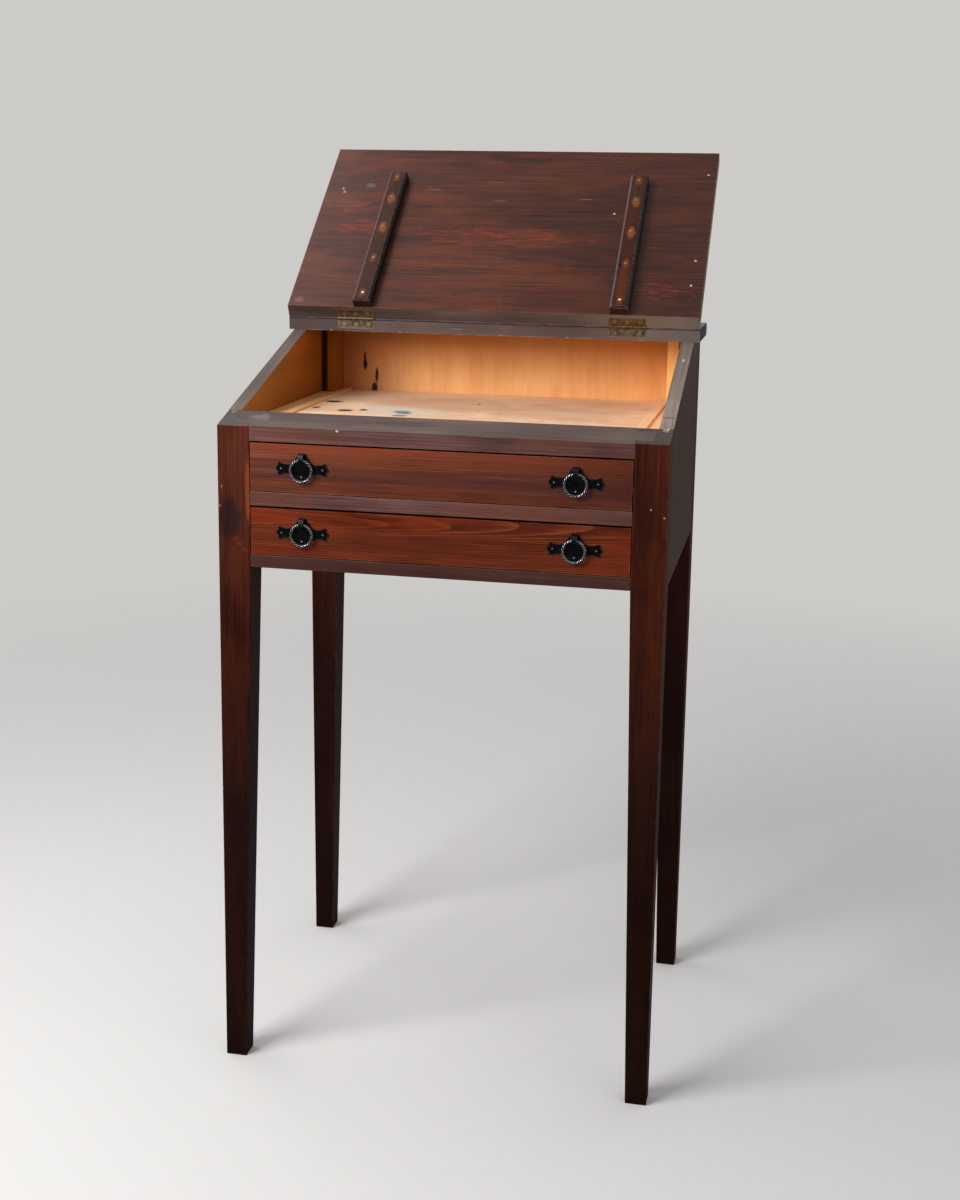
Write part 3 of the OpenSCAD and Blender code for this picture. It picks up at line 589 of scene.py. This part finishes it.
def mark_board(s, colour):
    """Painted shade along the upper edge, where the lid meets the board, a paler right, a darker
    left, dark ends, and nicks."""
    colour = s.mix(s.spread(s.along(ACROSS), 0.15, 0.3, (0, 0.6)), colour, "6d625c")
    colour = s.mix(s.spread(s.along(ACROSS), -0.05, -0.28, (0, 0.4)), colour, "2c2022")
    ends = s.number("ABSOLUTE", s.along(ACROSS, s.normal))
    colour = s.mix(s.spread(ends, 0.3, 0.6, (0, 0.9)), colour, "141210")
    # Painted shade along the upper edge, below the lid.
    share = s.product(s.spread(s.along(UP), HINGE_Z - 0.0032, HINGE_Z - 0.0018), 0.85)
    colour = s.mix(share, colour, "140c0a")
    scratches = [mm(-226, 337, 1052), mm(-52, 337, 1050)]
    colour = s.spots(colour, "8f8280", scratches, (0.012, 0.01, 0.0008), 1.2, 0.35)
    nicks = [mm(x, 337, 1042) for x in (-250, -140, 18, 120, 232)]
    return s.spots(colour, "a89888", nicks, (0.0025, 0.006, 0.001), 0.8, 0.6)


def mark_rail_top(s, colour):
    """A pale and a dark smudge on the top, and a pale fleck on the front."""
    colour = s.spots(colour, "a3948a", [mm(-255, 28, 946)], (0.014, 0.010, 0.02), 1.0, 0.2)
    colour = s.spots(colour, "3c2c28", [mm(-52, 26, 946)], (0.045, 0.008, 0.02), 0.8, 0.6)
    return s.spots(colour, "c9b8a4", [mm(-139, 0, 936)], (0.002, 0.004, 0.0015), 0.3)


def mark_side(s, colour):
    """An olive tone inside at the left front, a seam, and nails on the upper edge."""
    left = s.product(inside_of_side(s), s.spread(s.along(ACROSS), 0, -0.1))
    colour = s.mix(s.product(left, s.spread(s.along(BACKWARDS), 0.02, -0.2), 0.6), colour, "a4702c")
    colour = s.spots(colour, "241b17", [mm(300, 80, 962)], (0.009, 0.0012, 0.02), 0.2)
    front_nails = [mm(295, 44, 951), mm(304.5, 44, 951)]
    colour = s.spots(colour, "c9b39a", front_nails, (0.003, 0.003, 0.02), 0.3)
    return s.spots(colour, "d2c3b0", [mm(301, 270, 1020)], (0.0015, 0.004, 0.02), 0.3)


def dress(name, material):
    """Gives a CAD node its material."""
    piece = nodes[name]
    if not piece.material_slots:
        piece.data.materials.append(material)
    for slot in piece.material_slots:
        slot.link = "OBJECT"
        slot.material = material


def ease(piece, width, segments):
    """Eases a piece's sharp edges with modifiers, and leaves its mesh as it is."""
    bevel = piece.modifiers.new("ease", "BEVEL")
    bevel.width = width
    bevel.segments = segments
    bevel.limit_method = "ANGLE"
    bevel.angle_limit = SHARP
    piece.modifiers.new("shade", "WEIGHTED_NORMAL").keep_sharp = False


def ease_node(name, width):
    """Eases a CAD node, whose faces are first joined at their corners."""
    weld = nodes[name].modifiers.new("weld", "WELD")
    weld.merge_threshold = 1e-5
    ease(nodes[name], width, 3)


def dress_wood():
    """Every wooden node: its look, the run of its grain and how far its edges are eased. The
    battens have chamfers of their own."""
    leg, plain, inner, lid = 0.0012, 0.001, 0.0006, 0.0025
    plan = [
        ("leg_front_left", leg, dict(look="leg", turn=ALONG_Z, paint=mark_left_leg,
                                     others=[("edge", faces_up)])),
        ("leg_front_right", leg, dict(look="leg", turn=ALONG_Z, paint=mark_right_leg,
                                      others=[("edge", faces_up)])),
        # Inside the compartment the left corner and side take the darker copy of the raw wood as
        # painted shade, and the right ones the brighter copy as painted light.
        ("leg_rear_left", leg, dict(look="leg", turn=ALONG_Z, paint=mark_rear_leg,
                                    others=[("shaded_raw", inside_of_case)])),
        ("leg_rear_right", leg, dict(look="leg", turn=ALONG_Z, paint=mark_rear_leg,
                                     others=[("lit_raw", inside_of_case)])),
        ("side_panel_left", plain,
         dict(look="side", turn=ALONG_Y, paint=mark_side,
              others=[("shaded_raw", inside_of_side), ("left_slope", faces_up)])),
        ("side_panel_right", plain,
         dict(look="side", turn=ALONG_Y, paint=mark_side,
              others=[("lit_raw", inside_of_side), ("slope", faces_up)])),
        # The top rail's upper face takes the greyer edge look as a painted sheen.
        ("top_rail", plain, dict(look="rail", paint=mark_rail_top, others=[("edge", faces_up)])),
        ("middle_rail", plain, dict(look="rail")),
        ("bottom_rail", plain, dict(look="rail", paint=mark_low_rail)),
        ("back_panel", inner, dict(look="back", turn=ALONG_Z, paint=mark_back)),
        ("compartment_floor", inner, dict(look="bottom", paint=mark_bottom)),
        ("floor_strip_right kicker_right", inner, dict(look="bottom", turn=ALONG_Y)),
        ("floor_strip_left kicker_left", inner, dict(look="raw", turn=ALONG_Y)),
        ("floor_ledger drawer_stops", inner, dict(look="raw")),
        ("upper_runner_left upper_runner_right lower_runner_left lower_runner_right", inner,
         dict(look="raw", turn=ALONG_Y)),
        ("upper_guide_left upper_guide_right lower_guide_left lower_guide_right", inner,
         dict(look="raw", turn=ALONG_Y)),
        ("top_board", lid, dict(look="edge", paint=mark_board, others=[("lid", faces_up)])),
        ("lid_board", lid, dict(look="lid", on_lid=True, paint=mark_lid,
                                others=[("edge", around_lid)])),
        ("lid_batten_left lid_batten_right", 0, dict(look="batten", turn=ALONG_Y, on_lid=True,
                                                     paint=mark_batten)),
        ("upper_drawer_front", plain, dict(look="front", paint=mark_upper_front)),
        ("lower_drawer_front", plain, dict(look="arched")),
        ("upper_drawer_side_left upper_drawer_side_right", inner, dict(look="raw", turn=ALONG_Y)),
        ("lower_drawer_side_left lower_drawer_side_right", inner, dict(look="raw", turn=ALONG_Y)),
        ("upper_drawer_back lower_drawer_back", inner, dict(look="raw")),
        ("upper_drawer_bottom lower_drawer_bottom", inner, dict(look="bottom")),
    ]
    seed = 0
    for names, width, finish in plan:
        for name in names.split():
            seed += 1
            dress(name, wood(name, seed=seed, **finish))
            if width:
                ease_node(name, width)


def dress_metal():
    """Hinges, screws, nails and the solids of the pulls. Returns the iron of the pulls."""
    kind = dict(metallic=0.85, pit=0.0009, depth=0.0002)
    brass = metal("aged_brass", "271e18", "7d6950", "b9a284", rough=(0.3, 0.6), **kind)
    screw = metal("screw_brass", "463525", "96805f", "c8b692", rough=(0.25, 0.5), **kind)
    iron = metal("black_iron", "060608", "17171b", "777780", rough=(0.12, 0.3), metallic=0.6,
                 pit=0.0012, depth=0.0003)
    for name in nodes:
        if name.startswith("hinge_"):
            dress(name, brass)
        elif name.endswith("_screws"):
            dress(name, screw)
        elif name == "batten_nails":
            dress(name, nail_heads())
        elif name.endswith("_plate_nails"):
            level = name.split("_")[0]
            dress(name, glinting_iron(name + "_iron", glint_on_nails(level)))
            ease_node(name, 0.0007)
        elif "_plate_" in name or "_ring_" in name:
            dress(name, iron)
    return iron


def new_piece(name, mesh, body, stands_for, materials):
    """Makes a piece of a finished bmesh, in place of a CAD node."""
    data = bpy.data.meshes.new(name)
    mesh.to_mesh(data)
    mesh.free()
    for material in materials:
        data.materials.append(material)
    piece = bpy.data.objects.new(name, data)
    bpy.context.scene.collection.objects.link(piece)
    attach(piece, body)
    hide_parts(stands_for)
    return piece


def ridged_iron():
    """Black iron that is bright along the ridges of the twist: partly worn-off finish, partly painted
    highlights.
    """
    s = Shader("ridged_iron")
    ridge = s.add("Attribute", attribute_name="ridge").outputs["Fac"]
    mottle = s.noise(s.place, 0.004, detail=4)
    worn_and_glinting = s.spread(s.number("ADD", ridge, mottle), 0.85, 1.45)
    s.give(s.surface["Base Color"], s.mix(worn_and_glinting, "050506", "d6d6de"))
    s.give(s.surface["Roughness"], s.spread(mottle, 0.3, 0.7, (0.14, 0.3)))
    s.surface["Metallic"].default_value = 0.7
    s.bump(mottle, strength=0.3, distance=0.0002)
    return s.material


# The twisted bar of the rings: its corners, how often it turns on its way round, and how thick it
# is between two corners, as a share of its thickness at a corner
BAR_CORNERS = 4
BAR_TURNS = 5
BAR_FLAT = 0.72


def twisted_ring(level, side, iron):
    """A pull's ring as a twisted square bar, in place of the plain CAD ring."""
    node = f"{level}_ring_{side}"
    low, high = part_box(node)
    middle = (low + high) / 2
    wire = (high.y - low.y) / 2
    radius = (high.x - low.x) / 2 - wire
    around, across = 240, 24
    mesh = bmesh.new()
    ridge = mesh.verts.layers.float.new("ridge")
    rows = []
    for i in range(around):
        theta = math.tau * i / around
        out = Vector((math.sin(theta), 0, math.cos(theta)))
        row = []
        for j in range(across):
            phi = math.tau * j / across
            lobe = abs(math.cos(BAR_CORNERS * (phi - BAR_TURNS * theta) / 2))
            r = wire * (BAR_FLAT + (1 - BAR_FLAT) * lobe ** 1.5)
            offset = out * (math.cos(phi) * r) + Vector((0, math.sin(phi) * r, 0))
            vert = mesh.verts.new(middle + out * radius + offset)
            vert[ridge] = lobe ** 6
            row.append(vert)
        rows.append(row)
    for i, row in enumerate(rows):
        after = rows[(i + 1) % around]
        for j in range(across):
            k = (j + 1) % across
            mesh.faces.new((row[j], row[k], after[k], after[j]))
    bmesh.ops.recalc_face_normals(mesh, faces=mesh.faces)
    for face in mesh.faces:
        face.smooth = True
    new_piece(node + "_twisted", mesh, node + "_pull", node, [iron])


def disc_height(level, side):
    """Height of the middle of a backplate's disc, which is also its arms' and its nails' height."""
    low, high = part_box(f"{level}_ring_{side}")
    return (low + high).z / 2 + RING_DROP / 1000


def plate_nail_places(level):
    """Where the nails of a drawer's two backplates are."""
    places = []
    for side in ("left", "right"):
        low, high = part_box(f"{level}_plate_{side}")
        for x in (low.x + PLATE_NAIL_END / 1000, high.x - PLATE_NAIL_END / 1000):
            places.append((x, low.y, disc_height(level, side)))
    return places


# Half of a backplate's outline in millimetres from the disc's middle: a lobed end, a waisted arm,
# and the gable that runs up to the head
END_AND_ARM = [(37, 0), (36.6, 1.9), (35.3, 3.2), (33.8, 3.9), (33.5, 5.2), (34.4, 6.6), (34.0, 8.2),
               (32.6, 8.75), (31.2, 8.1), (29, 7.0), (26, 6.4), (22, 6.1), (18.5, 6.2), (15.8, 6.9)]
GABLE = [(12.6, 9.3), (10.4, 12.4), (8.3, 15.4), (6.8, 17.8), (6.0, 19.6), (5.0, 20.8), (2.8, 21.3)]
HEAD = 21.3

# Other sizes of a backplate in millimetres, and where the disc's lower rim starts and how far it
# runs, in degrees
PLATE_T = 1.6
RIM_R = 15.5
RIM_START = 25
RIM_RUN = 130
RIM_STEPS = 16
DOME_R = 12.6
DOME_RISE = 0.9
STUD_R = 1.8
STUD_OUT = 2.0
STUD_DROP = 11
TONGUE_HALF_T = 0.65
WIRE_R = 2
RING_DROP = 2.3
PLATE_NAIL_END = 7.5


def plate_outline():
    """The whole outline, anticlockwise from the right end's tip, in millimetres."""
    rim = []
    for step in range(1, RIM_STEPS):
        angle = -math.radians(RIM_START + RIM_RUN * step / RIM_STEPS)
        rim.append((RIM_R * math.cos(angle), RIM_R * math.sin(angle)))
    upper = END_AND_ARM + GABLE
    upper += [(-x, z) for x, z in reversed(upper)]
    lower_left = [(-x, -z) for x, z in END_AND_ARM[1:]]
    lower_right = [(x, -z) for x, z in reversed(END_AND_ARM[1:])]
    return upper + lower_left + list(reversed(rim)) + lower_right


def tongue_path(ring_plane, ring_top):
    """Side view of the tongue that folds from the head over the ring, as (y, z, half width)."""
    return [(-1.0, HEAD - 1.4, 5.4), (-2.6, HEAD - 0.4, 4.8), (ring_plane + 1.0, HEAD - 0.7, 4.0),
            (ring_plane - 1.9, HEAD - 2.0, 3.6), (ring_plane - 3.6, ring_top + 2.2, 3.3),
            (ring_plane - 3.78, ring_top - 0.4, 3.3), (ring_plane - 3.4, ring_top - 2.9, 3.1),
            (ring_plane - 1.6, ring_top - 4.4, 3.0), (ring_plane + 1.6, ring_top - 4.8, 2.9),
            (-1.0, ring_top - 4.8, 2.8)]


def add_slab(mesh, at):
    """The flat part of a backplate, with its lobed ends and its gable."""
    face = mesh.faces.new([mesh.verts.new(at(x, 0, z)) for x, z in plate_outline()])
    raised = bmesh.ops.extrude_face_region(mesh, geom=[face])
    moved = [part for part in raised["geom"] if isinstance(part, bmesh.types.BMVert)]
    bmesh.ops.translate(mesh, verts=moved, vec=Vector((0, -PLATE_T / 1000, 0)))


def add_dome(mesh, at):
    """The domed disc in the middle of a backplate."""
    ball = bmesh.ops.create_uvsphere(mesh, u_segments=40, v_segments=16, radius=1)
    for vert in ball["verts"]:
        x, y, z = vert.co
        vert.co = at(DOME_R * x, DOME_RISE * y - PLATE_T, DOME_R * z)


def add_stud(mesh, at):
    """The stud inside the ring, in the piece's second material."""
    ball = bmesh.ops.create_uvsphere(mesh, u_segments=16, v_segments=10, radius=1)
    for vert in ball["verts"]:
        x, y, z = vert.co
        vert.co = at(STUD_R * x, STUD_R * y - STUD_OUT, STUD_R * z - STUD_DROP)
        for face in vert.link_faces:
            face.material_index = 1


def add_tongue(mesh, at, path):
    """The flat tongue along its path."""
    rows = []
    for i, (y, z, half) in enumerate(path):
        before = path[max(i - 1, 0)]
        after = path[min(i + 1, len(path) - 1)]
        run = Vector((0, after[0] - before[0], after[1] - before[1])).normalized()
        inward = Vector((0, -run.z, run.y)) * TONGUE_HALF_T
        corners = [(-half, -1), (half, -1), (half, 1), (-half, 1)]
        rows.append([mesh.verts.new(at(x, y + inward.y * s, z + inward.z * s)) for x, s in corners])
    for row, after in zip(rows, rows[1:]):
        for j in range(4):
            k = (j + 1) % 4
            mesh.faces.new((row[j], row[k], after[k], after[j]))
    mesh.faces.new(rows[0])
    mesh.faces.new(list(reversed(rows[-1])))


def forged_plate(level, side, iron, stud_iron):
    """A pull's backplate with lobed ends, a domed disc, a folded tongue and a stud."""
    node = f"{level}_plate_{side}"
    low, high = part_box(node)
    ring_low, ring_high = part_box(f"{level}_ring_{side}")
    ring_plane = ((ring_low + ring_high).y / 2 - high.y) * 1000
    disc_middle = disc_height(level, side)
    ring_top = (ring_high.z - disc_middle) * 1000 - WIRE_R
    middle = Vector(((low + high).x / 2, high.y, disc_middle))

    def at(x, y, z):
        return middle + Vector((x, y, z)) / 1000

    mesh = bmesh.new()
    add_slab(mesh, at)
    add_dome(mesh, at)
    add_stud(mesh, at)
    add_tongue(mesh, at, tongue_path(ring_plane, ring_top))
    bmesh.ops.recalc_face_normals(mesh, faces=mesh.faces)
    for face in mesh.faces:
        face.smooth = True
    body = f"{level}_drawer"
    plate = new_piece(node + "_forged", mesh, body, node, [iron, stud_iron])
    ease(plate, 0.0004, 2)


def make_floor():
    """A wide pale floor that fades into the background and keeps the desk's shadow. It throws less
    light back at the desk than its colour would, so that the desk keeps its own tones."""
    bpy.ops.mesh.primitive_plane_add(size=40)
    floor = bpy.context.object
    floor.name = "floor"
    s = Shader("pale_floor")
    s.surface["Base Color"].default_value = rgb("dddbd8")
    s.surface["Roughness"].default_value = 0.9
    fade = s.spread(s.length(s.place), 0.9, 2.8)
    seen = s.add("LightPath").outputs["Is Camera Ray"]
    glow = s.add("Emission", {"Color": BACKGROUND, "Strength": 1.0}).outputs[0]
    dull = s.add("BsdfDiffuse", {"Color": "6a6866"}).outputs[0]
    near = s.nodes["Principled BSDF"].outputs[0]
    faded = s.add("MixShader", {0: fade, 1: near, 2: glow}).outputs[0]
    both = s.add("MixShader", {0: seen, 1: dull, 2: faded}).outputs[0]
    s.give(s.nodes["Material Output"].inputs["Surface"], both)
    floor.data.materials.append(s.material)


def make_world():
    """Even light from all round, with a paler background where it is seen or mirrored."""
    world = bpy.data.worlds.new("studio")
    world.use_nodes = True
    tree = world.node_tree
    sky = tree.nodes["Background"]
    sky.inputs["Color"].default_value = rgb("f2f2f4")
    sky.inputs["Strength"].default_value = 0.55
    seen = tree.nodes.new("ShaderNodeBackground")
    seen.inputs["Color"].default_value = rgb(BACKGROUND)
    path = tree.nodes.new("ShaderNodeLightPath")
    share = path.outputs["Is Camera Ray"]
    for ray in ("Is Glossy Ray", "Is Transmission Ray"):
        either = tree.nodes.new("ShaderNodeMath")
        either.operation = "MAXIMUM"
        tree.links.new(share, either.inputs[0])
        tree.links.new(path.outputs[ray], either.inputs[1])
        share = either.outputs[0]
    mixed = tree.nodes.new("ShaderNodeMixShader")
    tree.links.new(share, mixed.inputs[0])
    tree.links.new(sky.outputs[0], mixed.inputs[1])
    tree.links.new(seen.outputs[0], mixed.inputs[2])
    tree.links.new(mixed.outputs[0], tree.nodes["World Output"].inputs["Surface"])
    bpy.context.scene.world = world


def softbox(name, at, target, size, watts):
    """A square lamp that shines at a target."""
    data = bpy.data.lights.new(name, "AREA")
    data.shape = "SQUARE"
    data.size = size
    data.energy = watts
    light = bpy.data.objects.new(name, data)
    light.location = at
    light.rotation_euler = (Vector(target) - Vector(at)).to_track_quat("-Z", "Y").to_euler()
    bpy.context.scene.collection.objects.link(light)


def make_camera():
    """The camera that the desk's corners in the photograph lead back to."""
    data = bpy.data.cameras.new("camera")
    data.sensor_width = SENSOR_MM
    data.lens = FOCAL_PIXELS * SENSOR_MM / IMAGE_SIZE[1]
    data.shift_x = (IMAGE_SIZE[0] / 2 - AIM_PIXEL[0]) / IMAGE_SIZE[1]
    data.shift_y = (AIM_PIXEL[1] - IMAGE_SIZE[1] / 2) / IMAGE_SIZE[1]
    forward = Vector((-math.sin(CAMERA_YAW) * math.cos(CAMERA_PITCH),
                      math.cos(CAMERA_YAW) * math.cos(CAMERA_PITCH), -math.sin(CAMERA_PITCH)))
    level = Vector((math.cos(CAMERA_YAW), math.sin(CAMERA_YAW), 0))
    upright = level.cross(forward)
    right = level * math.cos(CAMERA_ROLL) + upright * math.sin(CAMERA_ROLL)
    up = right.cross(forward)
    turned = Matrix((right, up, -forward)).transposed().to_4x4()
    camera = bpy.data.objects.new("camera", data)
    camera.matrix_world = Matrix.Translation(CAMERA_AT) @ turned
    bpy.context.scene.collection.objects.link(camera)
    bpy.context.scene.camera = camera


make_camera()
make_world()
softbox("key", at=(-1.45, -1.7, 2.0), target=(0.05, 0, 0.85), size=1.3, watts=60)
softbox("fill", at=(2.6, -2.0, 1.6), target=(0, 0, 0.7), size=2.2, watts=8)
softbox("overhead", at=(-1.5, 0.3, 2.9), target=(-0.1, 0, 1.1), size=1.4, watts=14)
make_floor()
dress_wood()
iron = dress_metal()
stud_iron = glinting_iron("stud_glint", glint_on_stud)
twisted = ridged_iron()
for level in ("upper", "lower"):
    for side in ("left", "right"):
        twisted_ring(level, side, twisted)
        forged_plate(level, side, iron, stud_iron)

bpy.context.scene.view_settings.view_transform = "Standard"
